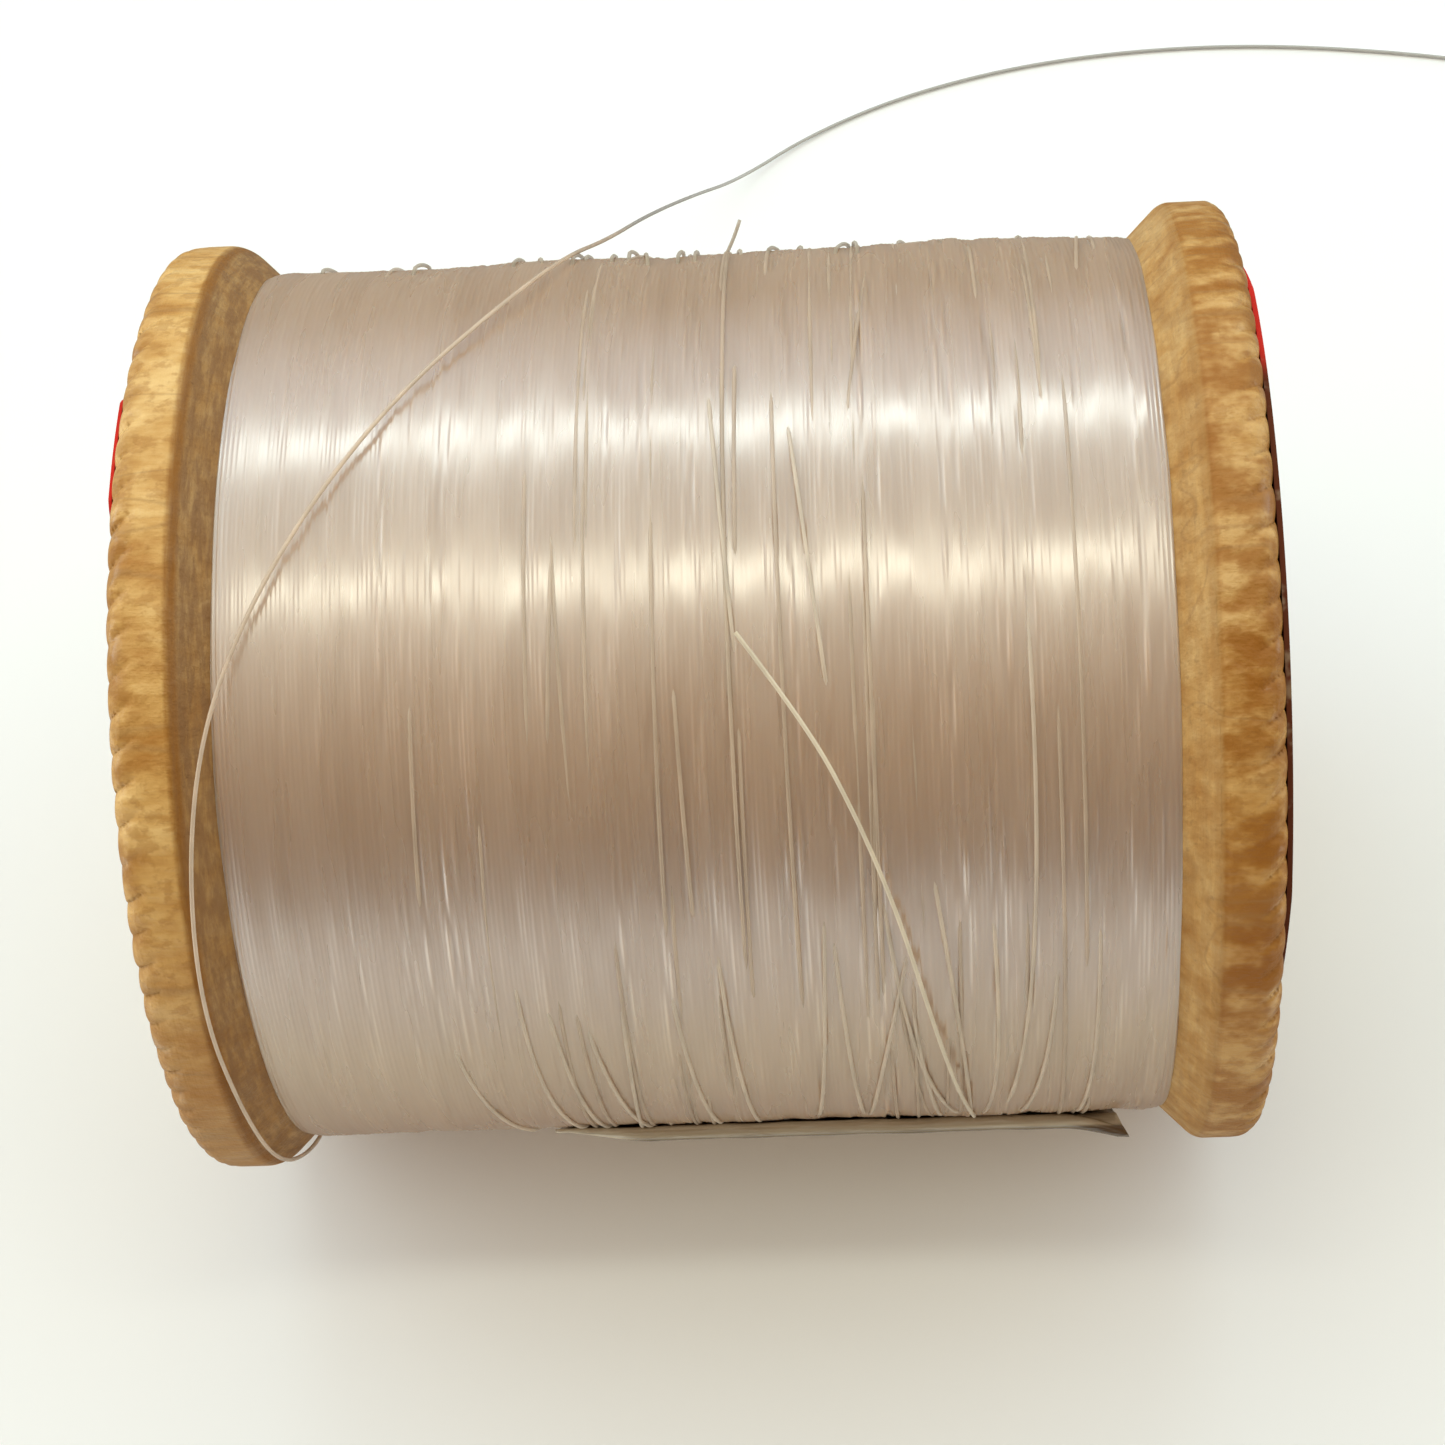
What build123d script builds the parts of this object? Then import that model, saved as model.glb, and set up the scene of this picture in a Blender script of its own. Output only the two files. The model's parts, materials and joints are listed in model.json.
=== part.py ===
"""A turned wooden spool of clear monofilament fishing line, lying on its side.

Row frame: +X along the spool's axis, +Z up, origin at the middle of the spindle bore.
The rims of the two flanges rest on a surface at z = -flange_radius. Lengths are in millimetres.
"""

import os
from math import cos, pi, radians, sin, tan

from build123d import *

# Wooden body: a barrel with a through tenon at each end, glued into two flanges
flange_radius = 25.0
spool_length = 55.2
rim_width = 3.05
bevel_size = 2.5
flange_thickness = 7.05
hub_face_radius = 13.0
rim_inner_round = 1.2
barrel_radius = 11.0
tenon_radius = 7.0
tenon_fit = 0.0
bore_radius = 4.0

# Milled pads round the outer corner of each rim
corner_radius = 1.0
pad_pitch = 1.85
groove_radius = 0.45
groove_depth = 0.28
groove_lean = 20.0

# Paper discs glued over the end faces
label_thickness = 0.25
label_hole_clearance = 0.4

# Line
line_diameter = 0.22
winding_below_rim = 1.5
film_thickness = 0.15
film_gap = 0.05
film_length = 30.0
film_edge_gap = 2.5
film_roll_diameter = 0.7
film_roll_angle = -81.0
film_wrap = 34.0
view_tilt = 60.0

# Worked out
end_face_x = spool_length / 2
hub_face_x = end_face_x - flange_thickness
bevel_top_x = end_face_x - rim_width
bevel_foot_x = bevel_top_x - bevel_size
bevel_foot_radius = flange_radius - bevel_size
winding_radius = flange_radius - winding_below_rim
winding_edge_x = bevel_top_x - winding_below_rim
film_end_x = winding_edge_x - film_edge_gap
socket_radius = tenon_radius + tenon_fit
label_radius = flange_radius - corner_radius
label_hole_radius = bore_radius + label_hole_clearance
pad_count = round(2 * pi * flange_radius / pad_pitch)

# The free length of line, from where it leaves the winding to its bare end on the table
free_line_points = [
    (-21.6, -0.83, -23.67),
    (-22.3, -6.6, -23.1),
    (-22.9, -12.1, -21.0),
    (-23.4, -16.9, -17.6),
    (-23.5, -21.2, -12.7),
    (-23.5, -25.0, -4.5),
    (-23.9, -25.1, 3.0),
    (-24.4, -23.2, 10.9),
    (-24.0, -18.7, 17.5),
    (-23.0, -13.1, 21.0),
    (-20.6, -7.5, 23.1),
    (-17.5, -2.0, 24.0),
    (-13.7, 3.9, 23.8),
    (-9.4, 9.9, 22.1),
    (-6.6, 14.8, 19.4),
    (-5.8, 26.1, 6.3),
    (-4.9, 39.2, -8.1),
    (-2.9, 50.5, -20.3),
    (0.1, 55.1, -24.5),
    (5.4, 59.3, -24.85),
    (12.9, 62.7, -24.85),
    (22.7, 65.0, -24.85),
    (34.4, 65.6, -24.85),
    (45.9, 64.3, -24.85),
    (57.3, 61.7, -24.85),
    (67.6, 58.2, -24.85),
]

# A loose end of the same line, standing a little off the front of the winding
loose_end_points = [
    (12.85, -22.77, -6.34),
    (12.3, -24.0, -1.7),
    (11.4, -23.9, 3.6),
    (10.4, -22.6, 8.7),
    (9.2, -20.2, 13.3),
    (7.5, -17.1, 17.1),
    (5.4, -13.8, 20.1),
    (2.2, -10.1, 22.7),
]


def around(angle, radius):
    """A point (y, z) on a circle about the axis, by its angle above the tilted front."""
    turn = radians(angle + view_tilt)
    return -radius * cos(turn), radius * sin(turn)


def bend_radii(points):
    """The largest arc that each corner of a route has room for."""
    radii = []
    for before, corner, after in zip(points, points[1:], points[2:]):
        run_in, run_out = Vector(corner) - Vector(before), Vector(after) - Vector(corner)
        half_turn = radians(run_in.get_angle(run_out) / 2)
        radii.append(0.45 * min(run_in.length, run_out.length) / tan(half_turn))
    return radii


def line_along(points):
    """The swept tube of a stretch of line, with its section compared with its length."""
    radii = bend_radii(points)
    with BuildPart() as tube:
        with BuildLine():
            route = FilletPolyline(*points, radius=radii)
        with BuildSketch(Plane(origin=route @ 0, z_dir=route % 0)):
            Circle(line_diameter / 2)
        sweep()
    length = route.length
    expected = pi * line_diameter**2 / 4 * length
    print(f"length {length:.1f} mm, radii {', '.join(f'{r:.1f}' for r in radii)}")
    print(f"tube volume {tube.part.volume:.4f}, section times length {expected:.4f} mm3")
    return tube


# Barrel: the core that the line is wound on, bored through for a spindle
with BuildPart() as barrel:
    with BuildSketch(Plane.YZ):
        Circle(barrel_radius)
    extrude(amount=hub_face_x, both=True)
    with BuildSketch(Plane.YZ):
        Circle(tenon_radius)
    extrude(amount=end_face_x, both=True)
    with BuildSketch(Plane.YZ):
        Circle(bore_radius)
    extrude(amount=end_face_x, both=True, mode=Mode.SUBTRACT)

# Right flange: bevelled inside the rim, milled round its outer corner
with BuildPart() as right_flange:
    with BuildSketch(Plane.XY):
        with BuildLine():
            Polyline(
                (hub_face_x, socket_radius),
                (hub_face_x, hub_face_radius),
                (bevel_foot_x, bevel_foot_radius),
                (bevel_top_x, flange_radius),
                (end_face_x, flange_radius),
                (end_face_x, socket_radius),
                close=True,
            )
        section = make_face()
        rim_corners = section.vertices().group_by(Axis.Y)[-1].sort_by(Axis.X)
        fillet(rim_corners[0], rim_inner_round)
        rim_corners = vertices().filter_by_position(Axis.X, end_face_x - 0.01, end_face_x + 0.01)
        fillet(rim_corners.sort_by(Axis.Y)[-1], corner_radius)
    revolve(axis=Axis.X)
    reach = corner_radius * cos(radians(45)) + groove_radius - groove_depth
    groove_x = end_face_x - corner_radius + reach
    groove_ring = flange_radius - corner_radius + reach
    with Locations(Plane.YZ.offset(groove_x)):
        with PolarLocations(groove_ring, pad_count):
            Cylinder(
                groove_radius,
                3 * corner_radius,
                rotation=(groove_lean, -45, 0),
                mode=Mode.SUBTRACT,
            )

# Left flange: the same turning, facing the other way
with BuildPart() as left_flange:
    add(right_flange.part.mirror(Plane.YZ))

# Labels: one paper disc on each end face, with a punched hole for the spindle
with BuildPart() as right_label:
    with BuildSketch(Plane.YZ.offset(end_face_x)):
        Circle(label_radius)
        Circle(label_hole_radius, mode=Mode.SUBTRACT)
    extrude(amount=label_thickness)

with BuildPart() as left_label:
    add(right_label.part.mirror(Plane.YZ))

# Winding: the body of tightly wound line between the flanges
with BuildPart() as line_winding:
    with BuildSketch(Plane.XY):
        with BuildLine():
            Polyline(
                (-hub_face_x, barrel_radius),
                (-hub_face_x, hub_face_radius),
                (-bevel_foot_x, bevel_foot_radius),
                (-winding_edge_x, winding_radius),
                (winding_edge_x, winding_radius),
                (bevel_foot_x, bevel_foot_radius),
                (hub_face_x, hub_face_radius),
                (hub_face_x, barrel_radius),
                close=True,
            )
        make_face()
    revolve(axis=Axis.X)

# Clear film: a strip round the underside of the winding, with its front edge rolled up
film_inner = winding_radius + film_gap
film_outer = film_inner + film_thickness
roll_centre_radius = winding_radius + film_gap + film_roll_diameter / 2
with BuildPart() as clear_strip:
    with BuildSketch(Plane.YZ.offset(film_end_x)):
        with BuildLine():
            first, last = film_roll_angle, film_roll_angle - film_wrap
            middle = (first + last) / 2
            ThreePointArc(around(first, film_inner), around(middle, film_inner), around(last, film_inner))
            Line(around(last, film_inner), around(last, film_outer))
            ThreePointArc(around(last, film_outer), around(middle, film_outer), around(first, film_outer))
            Line(around(first, film_outer), around(first, film_inner))
        make_face()
        with Locations(around(film_roll_angle, roll_centre_radius)):
            Circle(film_roll_diameter / 2)
    extrude(amount=-film_length)

free_line = line_along(free_line_points)
loose_end = line_along(loose_end_points)

pieces = {
    "barrel": barrel,
    "left_flange": left_flange,
    "right_flange": right_flange,
    "left_label": left_label,
    "right_label": right_label,
    "line_winding": line_winding,
    "clear_strip": clear_strip,
    "free_line": free_line,
    "loose_end": loose_end,
}

os.makedirs("parts", exist_ok=True)
for name, piece in pieces.items():
    piece.part.label = name
    export_step(piece.part, f"parts/{name}.step")
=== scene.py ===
import json
from math import cos, pi, radians, sin, tau

import bpy
import numpy as np
from mathutils import Matrix, Vector


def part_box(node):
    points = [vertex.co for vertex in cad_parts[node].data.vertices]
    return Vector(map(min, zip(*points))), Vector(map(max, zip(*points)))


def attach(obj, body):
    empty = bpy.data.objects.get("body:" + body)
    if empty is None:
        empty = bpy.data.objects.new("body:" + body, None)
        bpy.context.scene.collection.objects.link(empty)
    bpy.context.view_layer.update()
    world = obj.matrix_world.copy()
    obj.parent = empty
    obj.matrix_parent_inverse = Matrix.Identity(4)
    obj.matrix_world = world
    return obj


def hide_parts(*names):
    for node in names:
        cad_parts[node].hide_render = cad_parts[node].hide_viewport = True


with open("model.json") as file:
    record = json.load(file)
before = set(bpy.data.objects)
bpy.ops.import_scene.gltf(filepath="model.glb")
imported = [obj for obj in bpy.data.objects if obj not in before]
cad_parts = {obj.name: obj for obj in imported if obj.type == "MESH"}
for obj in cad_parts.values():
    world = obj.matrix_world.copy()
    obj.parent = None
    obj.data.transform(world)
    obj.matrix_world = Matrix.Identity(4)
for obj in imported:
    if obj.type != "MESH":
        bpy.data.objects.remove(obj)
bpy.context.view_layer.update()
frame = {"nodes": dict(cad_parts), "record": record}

# A turned birch spool of clear fishing line, lying on its side.
# Lengths are in metres, and MM is a millimetre. Finishes are written in millimetres.
MM = 0.001
BODY = "root"
dice = np.random.default_rng(11)

_, winding_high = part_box("line_winding")
flange_low, flange_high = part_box("right_flange")
_, label_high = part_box("right_label")
strip_low, strip_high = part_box("clear_strip")
FLOOR_Z = flange_low.z
RIM_RADIUS = flange_high.z
HUB_X, END_X = flange_low.x, flange_high.x
LABEL_X, LABEL_RADIUS = label_high.x, label_high.z
WINDING_RADIUS, WINDING_X = winding_high.z, winding_high.x
BORE_RADIUS = frame["record"]["mounts"][0]["dims"]["r_mm"] * MM

# Turned wood
BARREL_RADIUS = 11.0 * MM
TENON_RADIUS = 7.0 * MM
HUB_FACE_RADIUS = 13.0 * MM
RIM_WIDTH = 3.05 * MM
BEVEL_SIZE = 2.5 * MM
RIM_INNER_ROUND = 1.2 * MM
CORNER_RADIUS = 1.0 * MM
PAD_PITCH = 1.85 * MM
PAD_DEPTH = 0.42 * MM
PAD_LEAN = 0.55
PAD_REACH = 1.45 * MM
BEVEL_TOP_X = END_X - RIM_WIDTH
PADS = round(tau * RIM_RADIUS / PAD_PITCH)
POINTS_PER_PAD = 16
RIM_WAVER = 0.016 * MM

# Paper labels
LABEL_HOLE_CLEARANCE = 0.4 * MM
LABEL_WEAR = 1.3 * MM
LABEL_BORDER = 1.85
LABEL_INNER_RING = 9.0

# Line
LINE_RADIUS = 0.11 * MM
TURN_PITCH = 0.22 * MM
TURNS = int(2 * WINDING_X / TURN_PITCH)
TURN_SLOPE = 0.012
RIDGE_HEIGHT = 0.010 * MM
WINDING_STEPS = 240
SHOULDER = 1.4 * MM
SHOULDER_DROP = 0.30 * MM
LAYER_WAVER = 0.016 * MM
RIDING_STRANDS = 100

# The strip of clear film
FILM_ROLL = 0.8 * MM
FILM_SHEET = 0.05 * MM
FILM_ROLL_ANGLE = -81.0
FILM_WRAP = 34.0
FILM_FLARE = 3.4 * MM

# The camera
VIEW_TILT = 60.0
CAMERA_DISTANCE = 170 * MM
CAMERA_SIDE = 9.25 * MM

FREE_LINE_POINTS = [
    (-21.6, -0.83, -23.67),
    (-22.3, -6.6, -23.1),
    (-22.9, -12.1, -21.0),
    (-23.4, -16.9, -17.6),
    (-23.5, -21.2, -12.7),
    (-23.5, -25.0, -4.5),
    (-23.9, -25.1, 3.0),
    (-24.4, -23.2, 10.9),
    (-24.0, -18.7, 17.5),
    (-23.0, -13.1, 21.0),
    (-20.6, -7.5, 23.1),
    (-17.5, -2.0, 24.0),
    (-13.7, 3.9, 23.8),
    (-9.4, 9.9, 22.1),
    (-6.6, 14.8, 19.4),
    (-5.8, 26.1, 6.3),
    (-4.9, 39.2, -8.1),
    (-2.9, 50.5, -20.3),
    (0.1, 55.1, -24.5),
    (5.4, 59.3, -24.85),
    (12.9, 62.7, -24.85),
    (22.7, 65.0, -24.85),
    (34.4, 65.6, -24.85),
    (45.9, 64.3, -24.85),
    (57.3, 61.7, -24.85),
    (67.6, 58.2, -24.85),
]

LOOSE_END_POINTS = [
    (12.85, -22.77, -6.34),
    (12.3, -24.0, -1.7),
    (11.4, -23.9, 3.6),
    (10.4, -22.6, 8.7),
    (9.2, -20.2, 13.3),
    (7.5, -17.1, 17.1),
    (5.4, -13.8, 20.1),
    (2.2, -10.1, 22.7),
]


# ---------------------------------------------------------------- shader maths


class Field:
    """A value that varies over a surface. Arithmetic on it adds Math nodes to its finish."""

    def __init__(self, finish, socket):
        self.finish, self.socket = finish, socket

    def maths(self, operation, *values):
        return self.finish.node("ShaderNodeMath", {"operation": operation}, dict(enumerate(values)))

    def __add__(self, other):
        return self.maths("ADD", self, other)

    def __mul__(self, other):
        return self.maths("MULTIPLY", self, other)

    def __sub__(self, other):
        return self.maths("SUBTRACT", self, other)

    def __rsub__(self, other):
        return self.maths("SUBTRACT", other, self)

    def __truediv__(self, other):
        return self.maths("DIVIDE", self, other)

    def __pow__(self, other):
        return self.maths("POWER", self, other)

    def __abs__(self):
        return self.maths("ABSOLUTE", self)

    __radd__, __rmul__ = __add__, __mul__

    def between(self, low, high, start=0.0, end=1.0):
        """This value's range low to high, spread smoothly over start to end."""
        sockets = {"Value": self, 1: low, 2: high, 3: start, 4: end}
        return self.finish.node("ShaderNodeMapRange", {"interpolation_type": "SMOOTHSTEP"}, sockets)


class Nodes:
    """A node tree, with short ways to add to it."""

    def __init__(self, tree):
        self.tree = tree

    def plug(self, socket, value):
        if isinstance(value, Field):
            self.tree.links.new(value.socket, socket)
        else:
            socket.default_value = value

    def node(self, kind, settings=None, sockets=None, output=0):
        made = self.tree.nodes.new(kind)
        for name, value in (settings or {}).items():
            if name == "stops":
                self.set_stops(made.color_ramp, value)
            else:
                setattr(made, name, value)
        for name, value in (sockets or {}).items():
            self.plug(made.inputs[name], value)
        return Field(self, made.outputs[output])

    @staticmethod
    def set_stops(ramp, stops):
        while len(ramp.elements) < len(stops):
            ramp.elements.new(0.5)
        for element, (position, colour) in zip(ramp.elements, stops):
            element.position, element.color = position, (*colour, 1)

    def parts(self, vector):
        return [self.node("ShaderNodeSeparateXYZ", {}, {0: vector}, axis) for axis in range(3)]


class Finish(Nodes):
    """A material with one Principled shader, and the nodes behind it."""

    def __init__(self, name, **sockets):
        self.material = bpy.data.materials.new(name)
        self.material.use_nodes = True
        super().__init__(self.material.node_tree)
        self.shader = self.tree.nodes["Principled BSDF"]
        self.set(**sockets)
        self.place = self.node("ShaderNodeTexCoord", output="Object")

    def set(self, **sockets):
        for name, value in sockets.items():
            self.plug(self.shader.inputs[name.replace("_", " ")], value)

    def mix(self, factor, first, second):
        """Colour first where factor is 0 and second where it is 1."""
        first, second = ((*c, 1) if isinstance(c, tuple) else c for c in (first, second))
        sockets = {0: factor, 6: first, 7: second}
        return self.node("ShaderNodeMix", {"data_type": "RGBA"}, sockets, output=2)

    def stretched(self, x, y, z):
        """The place on the surface in millimetres, times a number along each axis."""
        sockets = {0: self.place, 1: (x / MM, y / MM, z / MM)}
        return self.node("ShaderNodeVectorMath", {"operation": "MULTIPLY"}, sockets)

    def noise(self, place, detail=2.0, rough=0.5):
        sockets = {"Vector": place, "Scale": 1.0, "Detail": detail, "Roughness": rough}
        return self.node("ShaderNodeTexNoise", {}, sockets)

    def axes(self):
        """Where a point lies along the spool, and how far out from its axis, in millimetres."""
        x, y, z = (part * (1 / MM) for part in self.parts(self.place))
        return x, (y * y + z * z) ** 0.5

    def bump(self, height, distance, strength=1.0):
        sockets = {"Height": height, "Distance": distance, "Strength": strength}
        return self.node("ShaderNodeBump", {}, sockets)


# ---------------------------------------------------------------- finishes


def turned_birch(name, heart):
    """Light birch with its grain along the spool. Heart, from 0 to 1, is how much orange heartwood shows."""
    wood = Finish(name, Specular_IOR_Level=0.25, Coat_Roughness=0.12, Coat_IOR=1.5)
    x, _ = wood.axes()
    from_middle = abs(x)
    clouds = wood.noise(wood.stretched(0.14, 0.13, 0.13), 3.0)
    patches = wood.noise(wood.stretched(0.35, 0.55, 0.55), 3.0, 0.6)
    streaks = wood.noise(wood.stretched(0.22, 1.8, 1.8), 4.0, 0.6)
    fibres = wood.noise(wood.stretched(0.9, 7.0, 7.0), 3.0, 0.6)
    cut = wood.noise(wood.stretched(3.4, 0.45, 0.45), 4.0, 0.65)
    ring = wood.noise(wood.stretched(0.02, 0.16, 0.16), 2.0)
    ring_line = 1 - abs(ring - 0.5).between(0.0, 0.010)
    _, _, height = wood.parts(wood.place)
    # Painted shade: the lower half of the wood, the side toward the floor, is darkened toward a deeper brown.
    low_painted_shade = height.between(-2 * MM, 20 * MM, 0.85, 0.0)
    pores = wood.noise(wood.stretched(3.0, 2.6, 2.6), 2.0).between(0.60, 0.76)
    rim_start, rim_end = BEVEL_TOP_X / MM, END_X / MM
    slope = 1 - from_middle.between(rim_start - 0.15, rim_start + 0.12)
    before_edge = from_middle.between(rim_start - 0.50, rim_start - 0.25)
    crease = before_edge * (1 - from_middle.between(rim_start + 0.05, rim_start + 0.30))
    corner = from_middle.between(rim_end - 1.5, rim_end - 0.2)
    tone = clouds * 0.3 + patches * 0.45 + streaks * 0.2 + fibres * 0.05
    base = wood.node("ShaderNodeValToRGB", {"stops": [
        (0.38, (0.50, 0.225, 0.045)),
        (0.50, (0.70, 0.395, 0.120)),
        (0.62, (0.86, 0.560, 0.220)),
    ]}, {0: tone})
    mottle = wood.noise(wood.stretched(0.9, 1.2, 1.2), 3.0, 0.65)
    mottled = mottle.between(0.48, 0.62, 0.0, 0.45) * (1 - slope * 0.8)
    base = wood.mix(mottled, base, (0.42, 0.185, 0.036))
    orange = patches.between(0.40, 0.62, 1.0, 0.45) * clouds.between(0.35, 0.6, 1.0, 0.8)
    base = wood.mix(orange * (1 - slope * 0.95) * heart, base, (0.31, 0.105, 0.007))
    # Painted shade over the lower half, kept off the bevel and weaker on the heartwood flange.
    base = wood.mix(low_painted_shade * (1 - slope) * (1 - 0.8 * heart), base, (0.44, 0.21, 0.060))
    base = wood.mix(ring_line * 0.35, base, (0.36, 0.19, 0.065))
    dull = slope * cut.between(0.32, 0.62, 0.68, 1.0) * (1 - 0.5 * heart)
    base = wood.mix(dull, base, (0.250, 0.122, 0.044))
    # A dark orange-brown band in the crease where the bevel meets the rim: partly dirt, partly painted shade
    # in the crease.
    crease_dirt_and_shade = crease * cut.between(0.25, 0.65, 0.95, 0.5) * (1 - 0.6 * heart)
    base = wood.mix(crease_dirt_and_shade, base, (0.27, 0.095, 0.006))
    base = wood.mix(pores * slope * 0.25, base, (0.15, 0.070, 0.024))
    base = wood.mix(corner * patches.between(0.35, 0.65, 0.34, 0.0), base, (0.30, 0.13, 0.030))
    turning = wood.noise(wood.stretched(9.0, 0.05, 0.05), 1.0)
    relief = patches + mottle * 0.9 + fibres * 0.15 + turning * 0.1 + streaks * 0.2 + slope * cut * 0.6
    gloss = patches.between(0.35, 0.65, 0.50, 0.30) + slope * 0.2 - corner * 0.06
    varnish = corner * wood.noise(wood.stretched(0.8, 0.8, 0.8), 1.0).between(0.56, 0.66)
    wood.set(Base_Color=base, Roughness=gloss, Coat_Weight=varnish * 0.7)
    wood.set(Normal=wood.bump(relief, 0.16 * MM))
    return wood.material


def label_paper():
    """Aged cream paper with a red border ring and no lettering. The border's red turns dark brown toward the
    front.
    """
    paper = Finish("label_paper", Roughness=0.8, Specular_IOR_Level=0.12)
    x, out = paper.axes()
    _, y, _ = paper.parts(paper.place)
    border_start = LABEL_RADIUS / MM - LABEL_BORDER
    border = out.between(border_start - 0.05, border_start + 0.05)
    inner = 1 - abs(out - LABEL_INNER_RING).between(0.25, 0.35)
    stain = paper.noise(paper.stretched(0.12, 0.12, 0.12), 4.0, 0.6)
    grain = paper.noise(paper.stretched(4.0, 4.0, 4.0), 2.0)
    cream = paper.mix(stain.between(0.35, 0.7), (0.72, 0.60, 0.40), (0.56, 0.41, 0.23))
    red = paper.mix(stain.between(0.3, 0.7), (0.74, 0.030, 0.020), (0.58, 0.026, 0.016))
    # The red goes dark brown toward the front (toward -y), with the split shifted a little along x.
    darker_front = (y * (1 / MM) - x * 0.12).between(-1.5, 1.0, 1.0, 0.0)
    red = paper.mix(darker_front * 0.97, red, (0.095, 0.028, 0.010))
    worn = paper.noise(paper.stretched(0.7, 0.7, 0.7), 3.0).between(0.58, 0.72)
    printed = border.maths("MAXIMUM", border, inner) * (1 - worn * 0.3)
    paper.set(Base_Color=paper.mix(printed, cream, red), Normal=paper.bump(grain, 0.02 * MM))
    return paper.material


def wound_line():
    """Clear nylon many layers deep: it throws back far more light than one clear surface would."""
    nylon = Finish("wound_line", IOR=2.9, Metallic=0.08, Subsurface_Weight=1.0)
    nylon.set(Subsurface_Scale=0.5 * MM, Subsurface_Radius=(1.0, 0.8, 0.6))
    turns = nylon.noise(nylon.stretched(4.2, 0.05, 0.05), 1.0)
    bands = nylon.noise(nylon.stretched(0.55, 0.05, 0.05), 3.0, 0.6)
    clouds = nylon.noise(nylon.stretched(0.05, 0.07, 0.07), 2.0)
    tone = turns * 0.25 + bands * 0.4 + clouds * 0.35
    base = nylon.node("ShaderNodeValToRGB", {"stops": [
        (0.36, (0.505, 0.345, 0.230)),
        (0.50, (0.535, 0.370, 0.250)),
        (0.64, (0.565, 0.395, 0.270)),
    ]}, {0: tone})
    nylon.set(Base_Color=base, Roughness=bands.between(0.35, 0.65, 0.24, 0.30))
    return nylon.material


def top_strand(name, colour):
    """A strand of the same line lying on the winding, a little paler because it stands clear of it."""
    nylon = Finish(name, IOR=1.9, Alpha=0.62)
    haze = nylon.noise(nylon.stretched(0.8, 0.3, 0.3), 2.0)
    darker = tuple(0.84 * c for c in colour)
    nylon.set(Base_Color=nylon.mix(haze.between(0.35, 0.65), darker, colour))
    nylon.set(Roughness=haze.between(0.3, 0.7, 0.3, 0.4))
    return nylon.material


def single_line(name, through, colour, far_colour):
    """One strand of the line, with a share of light let through. It takes the far colour off the spool: the
    change from its near colour is a painted reflection of what lies around the clear line.
    """
    strand = Finish(name, Roughness=0.2, IOR=1.53, Transmission_Weight=through)
    haze = strand.noise(strand.stretched(0.5, 0.5, 0.5), 2.0)
    _, out = strand.axes()
    near = strand.mix(haze.between(0.35, 0.65), colour, tuple(0.88 * c for c in colour))
    # Painted reflection: the clear line is coloured like what lies around it, its near colour on the spool
    # and the far colour out on the table.
    away = out.between(RIM_RADIUS / MM + 1.0, RIM_RADIUS / MM + 12.0)
    strand.set(Base_Color=strand.mix(away, near, far_colour))
    return strand.material


def clear_film():
    """Clear film gone dull with age, with long pale and dark streaks where its layers overlap. The outer side
    of its rolled edge is painted dark as shade.
    """
    film = Finish("clear_film", Roughness=0.22, IOR=1.8)
    _, out = film.axes()
    layers = film.noise(film.stretched(0.05, 2.6, 2.6), 2.0)
    creases = film.noise(film.stretched(0.5, 2.0, 2.0), 3.0)
    pale = film.mix(layers.between(0.38, 0.60), (0.44, 0.35, 0.23), (0.62, 0.53, 0.38))
    roll_start, roll = WINDING_RADIUS / MM, FILM_ROLL / MM
    # Painted shade: the outer side of the roll, facing away from the winding toward the front and the floor,
    # is painted dark brown.
    painted_shade_outer_side = out.between(roll_start + 0.72 * roll, roll_start + 0.98 * roll)
    film.set(Base_Color=film.mix(painted_shade_outer_side, pale, (0.12, 0.070, 0.030)))
    film.set(Normal=film.bump(creases, 0.12 * MM))
    return film.material


# ---------------------------------------------------------------- mesh helpers


def add_piece(name, vertices, faces, material, smooth=True):
    mesh = bpy.data.meshes.new(name)
    mesh.from_pydata([tuple(v) for v in vertices], [], [tuple(f) for f in faces])
    mesh.materials.append(material)
    mesh.polygons.foreach_set("use_smooth", [smooth] * len(mesh.polygons))
    mesh.update()
    piece = bpy.data.objects.new(name, mesh)
    bpy.context.scene.collection.objects.link(piece)
    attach(piece, BODY)
    return piece


def closed_grid(rows, columns):
    """Faces of a grid whose rows and columns both join up end to end, as on a ring."""
    row, column = np.meshgrid(np.arange(rows), np.arange(columns), indexing="ij")
    row_on, column_on = (row + 1) % rows, (column + 1) % columns
    corners = [row * columns + column, row_on * columns + column,
               row_on * columns + column_on, row * columns + column_on]
    return np.stack(corners, -1).reshape(-1, 4)


def unroll(piece, rows, columns, flipped):
    """A map of the whole ring laid out flat, for the baked copy of its finish."""
    row, column = np.divmod(np.arange(rows * columns), columns)
    u = (column[:, None] + np.array([0, 0, 1, 1])) / columns
    v = (row[:, None] + np.array([0, 1, 1, 0])) / rows
    corners = np.stack([u, v], -1)
    layer = piece.data.uv_layers.new(name="OFBake")
    layer.uv.foreach_set("vector", (corners[:, ::-1] if flipped else corners).ravel())


def spun(x, out, angle):
    """Points from their place along the axis, distance out and angle, as one list of rows."""
    return np.stack(np.broadcast_arrays(x, out * np.cos(angle), out * np.sin(angle)), -1).reshape(-1, 3)


def front_angle(degrees):
    """The angle in the YZ plane of a place named by its angle above the tilted front."""
    return np.radians(180.0 - VIEW_TILT - np.asarray(degrees, float))


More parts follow.
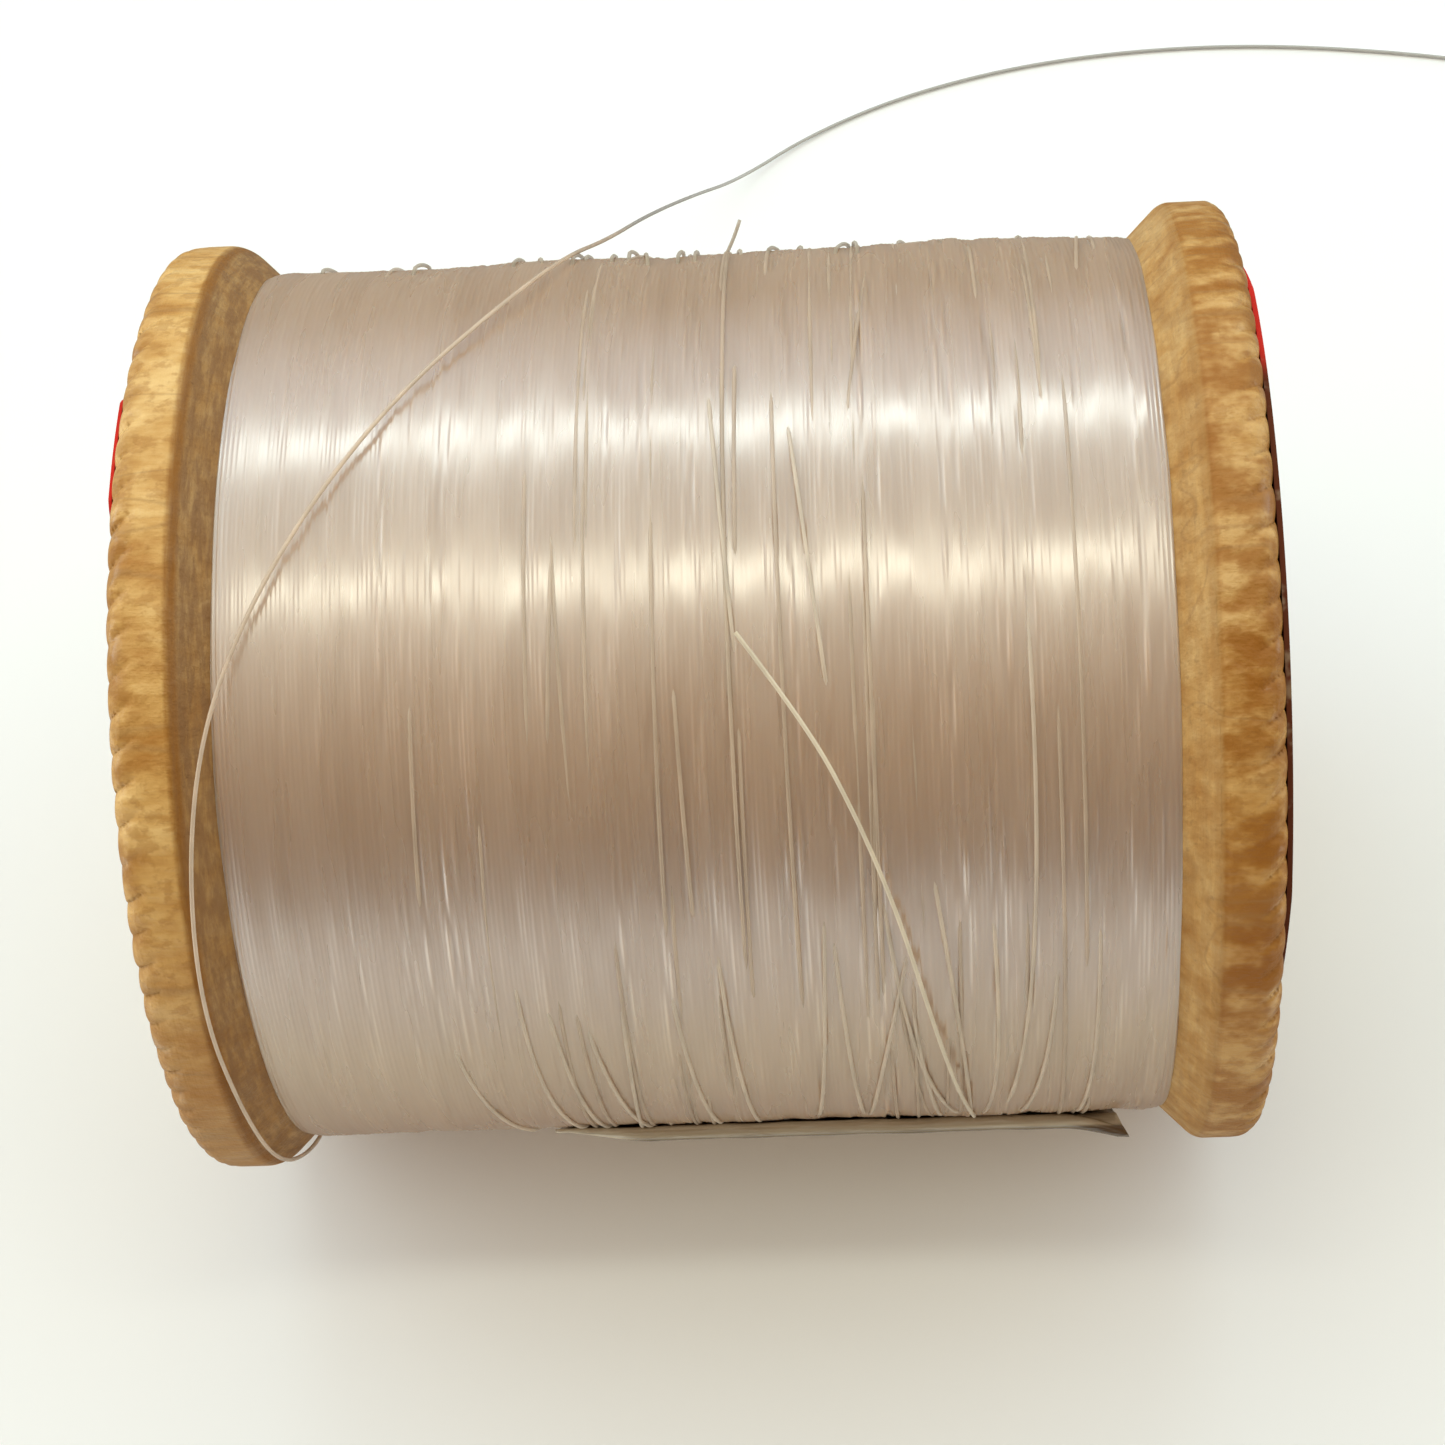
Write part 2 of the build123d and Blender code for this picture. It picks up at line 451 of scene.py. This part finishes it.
def tubes(paths, radius, sides=6):
    """Vertices and faces of a capped round tube along each path."""
    vertices, faces, first = [], [], 0
    for path in paths:
        path = np.asarray(path, float)
        along = np.gradient(path, axis=0)
        along /= np.linalg.norm(along, axis=1)[:, None]
        across = np.cross(along, (1.0, 0.0, 0.0)) + 1e-9
        across /= np.linalg.norm(across, axis=1)[:, None]
        up = np.cross(along, across)
        turn = np.arange(sides) * tau / sides
        ring = across[:, None] * np.cos(turn)[None, :, None] + up[:, None] * np.sin(turn)[None, :, None]
        vertices.append((path[:, None] + radius * ring).reshape(-1, 3))
        for i in range(len(path) - 1):
            for k in range(sides):
                a, b = first + i * sides + k, first + i * sides + (k + 1) % sides
                faces.append((a, b, b + sides, a + sides))
        last = first + (len(path) - 1) * sides
        faces.append(tuple(first + k for k in reversed(range(sides))))
        faces.append(tuple(last + k for k in range(sides)))
        first += len(path) * sides
    return np.concatenate(vertices), faces


# ---------------------------------------------------------------- wooden pieces


def flange_section():
    """The outline of the right flange as (x, distance out), from the socket round to the end face."""
    hub = [(HUB_X, r) for r in np.linspace(TENON_RADIUS, HUB_FACE_RADIUS, 3)]
    foot_x, foot_out = BEVEL_TOP_X - BEVEL_SIZE, RIM_RADIUS - BEVEL_SIZE
    web = [(HUB_X + t * (foot_x - HUB_X), HUB_FACE_RADIUS + t * (foot_out - HUB_FACE_RADIUS))
           for t in (0.5, 1.0)]
    slope = [(foot_x + t * BEVEL_SIZE, foot_out + t * BEVEL_SIZE) for t in np.linspace(0.08, 0.82, 10)]
    turn_x = BEVEL_TOP_X + RIM_INNER_ROUND * (2**0.5 - 1)
    inner = [(turn_x - RIM_INNER_ROUND * sin(a), RIM_RADIUS - RIM_INNER_ROUND * (1 - cos(a)))
             for a in np.linspace(pi / 4, 0, 8)]
    rim = [(x, RIM_RADIUS) for x in np.linspace(turn_x, END_X - CORNER_RADIUS, 18)[1:-1]]
    corner = [(END_X - CORNER_RADIUS * (1 - sin(a)), RIM_RADIUS - CORNER_RADIUS * (1 - cos(a)))
              for a in np.linspace(0, pi / 2, 15)]
    face = [(END_X, r) for r in (0.8 * RIM_RADIUS, 0.5 * RIM_RADIUS, TENON_RADIUS)]
    return np.array(hub + web + slope + inner + rim + corner + face)


def flange(node, side, wood):
    """One flange, side -1 for the left, with the slanting pads rolled round its outer corner."""
    steps = PADS * POINTS_PER_PAD
    section = flange_section()
    x, out = section[:, 0][:, None], section[:, 1][:, None]
    angle = np.arange(steps)[None, :] * tau / steps
    inward = np.clip((END_X - x) / PAD_REACH, 0, 1)
    on_corner = (1 - inward**1.6) * np.clip((out - LABEL_RADIUS + 0.5 * MM) / (0.5 * MM), 0, 1)
    place = angle * PADS / tau + PAD_LEAN * (1 - inward) + 0.06 * np.sin(9 * angle)
    which, within = np.floor(place).astype(int) % PADS, place % 1
    depth = PAD_DEPTH * dice.uniform(0.6, 1.2, PADS)[which]
    width = dice.uniform(0.30, 0.60, PADS)[which]
    crease = 1 - np.abs(np.sin(pi * within**0.8)) ** width
    bulge = dice.uniform(0.02, 0.10, PADS)[which] * MM * np.sin(pi * within)
    waver = sum(dice.normal() * RIM_WAVER * np.cos(k * angle + dice.uniform(0, tau)) for k in range(2, 9))
    sink = on_corner * (depth * crease + 0.08 * MM - bulge)
    toward_rim = np.clip((out - LABEL_RADIUS) / CORNER_RADIUS, 0, 1)
    moved_out = out - sink * (0.35 + 0.65 * toward_rim) + waver * (out > 0.85 * RIM_RADIUS)
    moved_x = x - sink * (1 - toward_rim) * 0.35
    points = spun(side * moved_x, np.minimum(moved_out, RIM_RADIUS), side * angle)
    piece = add_piece(f"{node}_turned", points, closed_grid(len(section), steps), wood)
    unroll(piece, len(section), steps, flipped=False)
    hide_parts(node)


def label(node, side, paper, lifted, spread, swollen):
    """One paper disc with a punched hole. Its edge has lifted round one angle, and worn back elsewhere.

    Lifted is that angle above the front and spread is its reach, both in degrees. Swollen, from 0 to 1, is
    how much of the paper's thickness the edge keeps there.
    """
    steps = 360
    hole = BORE_RADIUS + LABEL_HOLE_CLEARANCE
    angle = np.arange(steps)[None, :] * tau / steps
    away = np.abs((angle - front_angle(lifted) + pi) % tau - pi)
    lift = np.clip(3 * (1 - away / radians(spread)), 0, 1)
    edge = sum(dice.normal() * 0.05 * MM * np.cos(k * angle + dice.uniform(0, tau)) for k in range(1, 9))
    rings = list(np.linspace(hole, LABEL_RADIUS - 0.12 * MM, 14)) + [LABEL_RADIUS]
    count = len(rings)
    out = np.array(rings + rings[::-1])[:, None]
    near_edge = (out / LABEL_RADIUS) ** 8
    thick = (LABEL_X - END_X) * (1 - (1 - swollen * lift) * near_edge * 0.6)
    x = END_X + np.array([0] * count + [1] * count)[:, None] * thick
    moved_out = out + near_edge * (1 - lift) * (np.minimum(edge, 0.1 * MM) - LABEL_WEAR)
    points = spun(side * x, np.minimum(moved_out, LABEL_RADIUS), angle)
    faces = closed_grid(2 * count, steps)
    piece = add_piece(f"{node}_paper", points, faces if side > 0 else faces[:, ::-1], paper, smooth=False)
    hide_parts(node)


# ---------------------------------------------------------------- line


def uneven_turns(waves, share):
    """A sum of waves round each turn, in radians of slope. Turns near each other share part of it."""
    angle = np.arange(WINDING_STEPS) * tau / WINDING_STEPS
    total = np.zeros((TURNS, WINDING_STEPS))
    blur = np.hanning(9)[1:-1]
    blur /= np.linalg.norm(blur)
    for wave in waves:
        for phase in (np.cos(wave * angle), np.sin(wave * angle)):
            own = dice.normal(size=TURNS)
            common = np.convolve(dice.normal(size=TURNS), blur, "same")
            total += ((1 - share) * own + share * common)[:, None] * phase / wave
    return total / len(waves) ** 0.5


def layers_below(middle, angle):
    """How much the winding stands out from a true cylinder, from layers that didn't lie level."""
    waver = 0 * middle * angle
    for around_count in range(5):
        for _ in range(4):
            wave = dice.uniform(-0.55, 0.55) / MM
            height = dice.normal() * LAYER_WAVER
            waver = waver + height * np.cos(around_count * angle + wave * middle + dice.uniform(0, tau))
    shoulder = np.clip((np.abs(middle) - (WINDING_X - SHOULDER)) / SHOULDER, 0, 1)
    return waver - SHOULDER_DROP * shoulder**2


def wound_body(nylon):
    """The winding as its turns show: one low ridge for each turn, none quite round or quite level."""
    angle = np.arange(WINDING_STEPS) * tau / WINDING_STEPS
    third = np.array([-1, 0, 1])[:, None] / 3
    ridge = -RIDGE_HEIGHT * np.abs(third) * 3
    middle = (np.arange(TURNS) - (TURNS - 1) / 2)[:, None] * TURN_PITCH
    restless = np.exp(0.8 * dice.normal(size=TURNS))[:, None]
    own = uneven_turns(range(11, 38, 3), 0.2) * restless
    rougher = 1 + 0.45 * middle / WINDING_X
    sag = WINDING_RADIUS * TURN_SLOPE * rougher * (0.8 * uneven_turns(range(4, 24, 3), 1.0) + 0.5 * own)
    stray = 0.3 * TURN_PITCH * uneven_turns((1, 2, 3, 5, 8, 12), 0.95)
    x = (middle + stray)[:, None] + TURN_PITCH * third
    x = np.clip(x, -WINDING_X, WINDING_X).reshape(-1, WINDING_STEPS)
    out = (WINDING_RADIUS - 0.5 * LINE_RADIUS + sag + layers_below(middle, angle))[:, None] + ridge
    out = out.reshape(-1, WINDING_STEPS)
    foot_x, foot_out = BEVEL_TOP_X - BEVEL_SIZE, RIM_RADIUS - BEVEL_SIZE
    inner_right = np.array([(foot_x, foot_out), (HUB_X, HUB_FACE_RADIUS), (HUB_X, BARREL_RADIUS)])
    inner = np.concatenate([inner_right, inner_right[::-1] * (-1, 1)])
    x = np.concatenate([x, inner[:, :1] + 0 * angle])
    out = np.concatenate([out, inner[:, 1:] + 0 * angle])
    piece = add_piece("wound_line", spun(x, out, angle), closed_grid(len(x), WINDING_STEPS)[:, ::-1], nylon)
    unroll(piece, len(x), WINDING_STEPS, flipped=True)
    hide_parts("line_winding")


def strand_on_winding(x_from, x_to, angle_from, angle_to, lift, bow=0.0):
    """A path over the winding that rises out of it at one end and goes back in at the other."""
    t = np.linspace(0, 1, max(8, int(abs(angle_to - angle_from) / 1.5)))
    rise = np.clip(5 * np.minimum(t, 1 - t), 0, 1)
    rise = rise * rise * (3 - 2 * rise)
    out = WINDING_RADIUS - 0.5 * LINE_RADIUS + lift - 4 * LINE_RADIUS * (1 - rise)
    x = x_from + (x_to - x_from) * t + bow * np.sin(pi * t)
    return spun(x, out, front_angle(angle_from + (angle_to - angle_from) * t))


def add_strands(name, paths, nylon):
    points, faces = tubes(paths, LINE_RADIUS)
    add_piece(name, points, faces, nylon)


def riding_strands(nylon):
    """Turns that lie on top of their neighbours, most of them nearly level, and more toward the right."""
    paths = []
    for _ in range(RIDING_STRANDS):
        x = dice.triangular(-0.96, 0.75, 0.96) * WINDING_X
        start, span = dice.uniform(-180, 180), dice.uniform(25, 120)
        shift = dice.normal() * 0.4 * MM + (dice.random() < 0.12) * dice.normal() * 2.0 * MM
        ends = np.clip([x, x + shift], -WINDING_X + 0.4 * MM, WINDING_X - 0.4 * MM)
        paths.append(strand_on_winding(*ends, start, start + span, dice.uniform(-0.10, 0.01) * MM))
    add_strands("riding_strands", paths, nylon)


# Strands that plainly cross the turns: x from and to in mm, angles above the front, and the bow in mm
CROSSING = [
    (6.0, 7.3, -32, -72, 0.0),
    (10.1, 7.2, -34, -74, -0.4),
    (8.3, 12.9, -26, -76, -0.6),
    (10.6, 12.8, -22, -76, 0.5),
    (15.7, 13.8, 14, -76, 1.0),
    (13.7, 13.0, -30, -76, 0.6),
    (9.6, 11.4, -44, -76, 0.0),
    (17.0, 14.9, -38, -74, 0.3),
    (5.8, 4.5, -28, -74, 0.2),
    (-4.4, -5.0, -42, -84, 0.2),
    (-9.6, -7.3, -36, -80, -0.4),
    (-8.3, -6.2, -40, -80, 0.0),
    (-6.5, -3.8, -46, -80, 0.0),
    (-13.3, -9.8, -48, -82, -0.3),
    (-2.1, -0.2, -40, -78, 0.0),
    (0.4, 1.8, -36, -78, 0.0),
    (18.9, 18.0, -30, -78, 0.3),
    (4.7, 6.5, 30, 4, 0.0),
    (0.9, 2.2, 36, 8, 0.0),
]


def crossing_strands(nylon):
    """The plain crossing strands, each a little longer than its angles say, for the ends that sink in."""
    paths = []
    for x_from, x_to, angle_from, angle_to, bow in CROSSING:
        ends = (x_from * MM, x_to * MM, angle_from + 6, angle_to - 8)
        paths.append(strand_on_winding(*ends, 0.05 * MM, bow * MM))
    add_strands("crossing_strands", paths, nylon)


# Small loops along the top of the winding: x and height above the other turns, both in mm
LOOP_SPAN = 19
LOOPS = [
    (-20.0, 0.06), (-14.9, 0.08), (-9.6, 0.12), (-8.0, 0.10), (-6.5, 0.22), (-5.9, 0.12), (-4.4, 0.10),
    (-3.6, 0.26), (-2.4, 0.10), (-0.9, 0.14), (-0.0, 0.10), (2.4, 0.06), (3.7, 0.14), (5.6, 0.10),
    (7.2, 0.16), (8.5, 0.22), (10.5, 0.14), (13.1, 0.08), (16.7, 0.10),
]


def broken_ends(nylon):
    """A cut stub that stands up at the top of the winding, and the small loops beside it."""
    turn, root_out = float(front_angle(84)), WINDING_RADIUS - 0.2 * MM
    root = np.array([1.4 * MM, root_out * cos(turn), root_out * sin(turn)])
    t = np.linspace(0, 1, 8)[:, None]
    stub = root + t * np.array([0.95, 0.95, 1.35]) * MM + t**2 * np.array([-0.1, 0.25, 0.1]) * MM
    paths = [stub]
    for x, height in LOOPS:
        start = 73 + dice.uniform(-3, 4)
        x_to = x + dice.normal() * 0.6
        paths.append(strand_on_winding(x * MM, x_to * MM, start, start + LOOP_SPAN, height * MM))
    add_strands("broken_ends", paths, nylon)


def free_strand(name, node, route, material):
    """A stretch of the line as one smooth curve of its real thickness."""
    curve = bpy.data.curves.new(name, "CURVE")
    curve.dimensions = "3D"
    curve.bevel_depth = LINE_RADIUS
    curve.bevel_resolution = 3
    curve.use_fill_caps = True
    curve.resolution_u = 16
    spline = curve.splines.new("NURBS")
    spline.points.add(len(route) - 1)
    for point, (x, y, z) in zip(spline.points, route):
        point.co = (x * MM, y * MM, z * MM, 1.0)
    spline.order_u = 3
    spline.use_endpoint_u = True
    curve.materials.append(material)
    piece = bpy.data.objects.new(name, curve)
    bpy.context.scene.collection.objects.link(piece)
    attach(piece, BODY)
    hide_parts(node)


# ---------------------------------------------------------------- film


def film_strip(film):
    """The strip of clear film: it hugs the underside of the winding, and its front edge has rolled up."""
    roll = 0.5 * FILM_ROLL
    middle_turn = float(front_angle(FILM_ROLL_ANGLE))
    out_way = np.array((cos(middle_turn), sin(middle_turn)))
    back_way = np.array((-out_way[1], out_way[0]))
    middle = out_way * (WINDING_RADIUS - 0.02 * MM + roll)
    turn = np.linspace(0, 2.6 * pi, 44)
    size = (roll * (1 - 0.05 * turn))[:, None]
    rolled = middle - size * (out_way * np.cos(turn)[:, None] + back_way * np.sin(turn)[:, None])
    angles = front_angle(FILM_ROLL_ANGLE - np.linspace(FILM_WRAP, 1.5, 14))
    tail = (WINDING_RADIUS + 0.08 * MM) * np.stack([np.cos(angles), np.sin(angles)], 1)
    line = np.concatenate([tail, rolled])
    is_roll = np.concatenate([np.zeros(len(tail)), np.ones(len(rolled))])
    along = np.gradient(line, axis=0)
    across = np.stack([-along[:, 1], along[:, 0]], 1) / np.linalg.norm(along, axis=1)[:, None]
    thick = 0.5 * FILM_SHEET * across
    outline = np.concatenate([line + thick, (line - thick)[::-1]])
    on_roll = np.concatenate([is_roll, is_roll[::-1]])
    plain, flared = np.linspace(strip_low.x, strip_high.x - 3 * MM, 70), np.arange(2.9, -0.1, -0.1) * MM
    x = np.concatenate([plain, strip_high.x - flared])
    taper = np.clip((x - strip_low.x) / (5 * MM), 0.15, 1) ** 0.7
    flare = np.clip((x - (strip_high.x - FILM_FLARE)) / FILM_FLARE, 0, 1) ** 1.7
    waver = 0.04 * MM * (np.sin(230 * x) + 0.6 * np.sin(617 * x + 1) + 0.4 * np.sin(1490 * x))
    base = middle - roll * out_way
    points = []
    for i, place in enumerate(x):
        grown = base + (outline - base) * taper[i] * (1 - 0.25 * flare[i])
        moved = grown + out_way * (0.75 * MM * flare[i] + np.abs(waver[i])) + back_way * (0.4 * MM * flare[i])
        section = np.where(on_roll[:, None] > 0, moved, outline)
        cut = 0.55 * ((section - middle) @ out_way) * (i == len(x) - 1)
        points.append(np.column_stack([place + cut + 0 * section[:, 0], section]))
    ring, half = len(outline), len(outline) // 2
    faces = [(a + k, a + (k + 1) % ring, a + ring + (k + 1) % ring, a + ring + k)
             for a in range(0, (len(x) - 1) * ring, ring) for k in range(ring)]
    for first, way in ((0, 1), ((len(x) - 1) * ring, -1)):
        last = first + ring - 1
        faces += [(first + k, last - k, last - 1 - k, first + k + 1)[::way] for k in range(half - 1)]
    piece = add_piece("film_strip", np.concatenate(points), faces, film)
    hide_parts("clear_strip")


# ---------------------------------------------------------------- studio


def place_camera():
    """A camera 60 degrees above the table, a little right of the middle, with its right end tipped up."""
    tilt = radians(VIEW_TILT)
    pan, nod, roll = radians(3.07), radians(-0.62), radians(-2.21)
    back = Vector((0, -cos(tilt), sin(tilt)))
    level = Matrix(((1, 0, 0), (0, sin(tilt), cos(tilt)), back)).transposed()
    turned = level @ Matrix.Rotation(pan, 3, "Y") @ Matrix.Rotation(nod, 3, "X")
    turned = turned @ Matrix.Rotation(roll, 3, "Z")
    data = bpy.data.cameras.new("camera")
    data.sensor_width = 36.0
    data.lens = 77.9
    data.clip_start = 0.01
    camera = bpy.data.objects.new("camera", data)
    place = back * CAMERA_DISTANCE + Vector((CAMERA_SIDE, 0, 0))
    camera.matrix_world = Matrix.Translation(place) @ turned.to_4x4()
    bpy.context.scene.collection.objects.link(camera)
    bpy.context.scene.camera = camera


def area_light(name, direction, distance, size, power, colour):
    """A soft rectangular light, size[0] long across X, that faces the spool from that direction."""
    data = bpy.data.lights.new(name, "AREA")
    data.shape = "RECTANGLE"
    data.size, data.size_y = size
    data.energy, data.color = power, colour
    light = bpy.data.objects.new(name, data)
    back = Vector(direction).normalized()
    up = back.cross((1, 0, 0)).normalized()
    facing = Matrix((up.cross(back), up, back)).transposed()
    light.matrix_world = Matrix.Translation(back * distance) @ facing.to_4x4()
    bpy.context.scene.collection.objects.link(light)


def elevation(degrees, sideways=0.0):
    """A direction in the YZ plane, 0 at the front horizon, 90 overhead and 180 at the back horizon."""
    a = radians(degrees)
    return (sideways, -cos(a), sin(a))


# The room's light by elevation in degrees: from straight down, through the front and over, to the back
ROOM = [
    (-90, (0.40, 0.33, 0.27)),
    (-45, (1.00, 0.98, 0.78)),
    (-25, (1.10, 1.14, 1.06)),
    (-8, (1.14, 1.22, 1.20)),
    (3, (0.66, 0.74, 0.76)),
    (10, (0.22, 0.25, 0.28)),
    (25, (0.12, 0.085, 0.075)),
    (45, (0.32, 0.225, 0.155)),
    (60, (0.58, 0.48, 0.37)),
    (76, (1.02, 0.98, 0.84)),
    (95, (1.02, 1.06, 0.98)),
    (111, (1.02, 1.12, 1.10)),
    (125, (1.06, 1.22, 1.24)),
    (142, (0.98, 1.12, 1.24)),
    (152, (0.90, 1.02, 1.14)),
    (163, (0.60, 0.65, 0.70)),
    (180, (0.22, 0.20, 0.18)),
    (210, (0.36, 0.32, 0.27)),
    (269, (0.36, 0.30, 0.25)),
]


def room():
    """The soft room that the glossy line reflects: dim and brown in front, pale overhead and behind."""
    world = bpy.data.worlds.new("room")
    world.use_nodes = True
    bpy.context.scene.world = world
    sky = Nodes(world.node_tree)
    x, y, z = sky.parts(sky.node("ShaderNodeTexCoord", output="Generated"))
    turned = z.maths("ARCTAN2", z, y * -1) / tau + 0.25
    share = turned.maths("FRACT", turned)
    stops = [((angle + 90) / 360, colour) for angle, colour in ROOM]
    light = sky.node("ShaderNodeValToRGB", {"stops": stops}, {0: share})
    background = sky.tree.nodes["Background"]
    sky.plug(background.inputs["Color"], light)
    sky.plug(background.inputs["Strength"], x * x * 1.5 - x * 0.35 + 0.75)


def studio():
    area_light("window", elevation(129.5, 0.0), 0.7, (0.5, 0.07), 0.65, (0.86, 1.0, 1.0))
    area_light("lamp", elevation(88, 0.06), 0.6, (0.45, 0.045), 0.46, (0.97, 1.0, 0.84))
    floor_finish = Finish("pale_floor", Roughness=0.9, Base_Color=(0.93, 0.93, 0.93, 1))
    bpy.ops.mesh.primitive_plane_add(size=4.0, location=(0, 0, FLOOR_Z))
    floor = bpy.context.object
    floor.name = "table"
    floor.visible_glossy = False  # what the line reflects below the horizon is the lower part of ROOM
    floor.data.materials.append(floor_finish.material)
    bpy.context.scene.view_settings.view_transform = "Standard"


# ---------------------------------------------------------------- the model

place_camera()
birch, heart_birch = turned_birch("turned_birch", 0.12), turned_birch("heart_birch", 1.0)
paper, pearly = label_paper(), wound_line()
clear_line = single_line("clear_line", 0.35, (0.90, 0.71, 0.53), (0.60, 0.58, 0.54))
cream_line = single_line("cream_line", 0.0, (0.78, 0.66, 0.49), (0.78, 0.66, 0.49))
free_strand("free_line_strand", "free_line", FREE_LINE_POINTS, clear_line)
free_strand("loose_end_strand", "loose_end", LOOSE_END_POINTS, cream_line)

flange("left_flange", -1, birch)
flange("right_flange", 1, heart_birch)
label("left_label", -1, paper, 32, 11, 0.4)
label("right_label", 1, paper, 12, 58, 1.0)
core = frame["nodes"]["barrel"]
core.data.materials.clear()
core.data.materials.append(birch)

wound_body(pearly)
riding_strands(top_strand("riding_line", (0.72, 0.55, 0.39)))
crossing_strands(top_strand("crossing_line", (0.86, 0.71, 0.54)))
broken_ends(top_strand("broken_line", (0.55, 0.44, 0.31)))
film_strip(clear_film())
room()
studio()
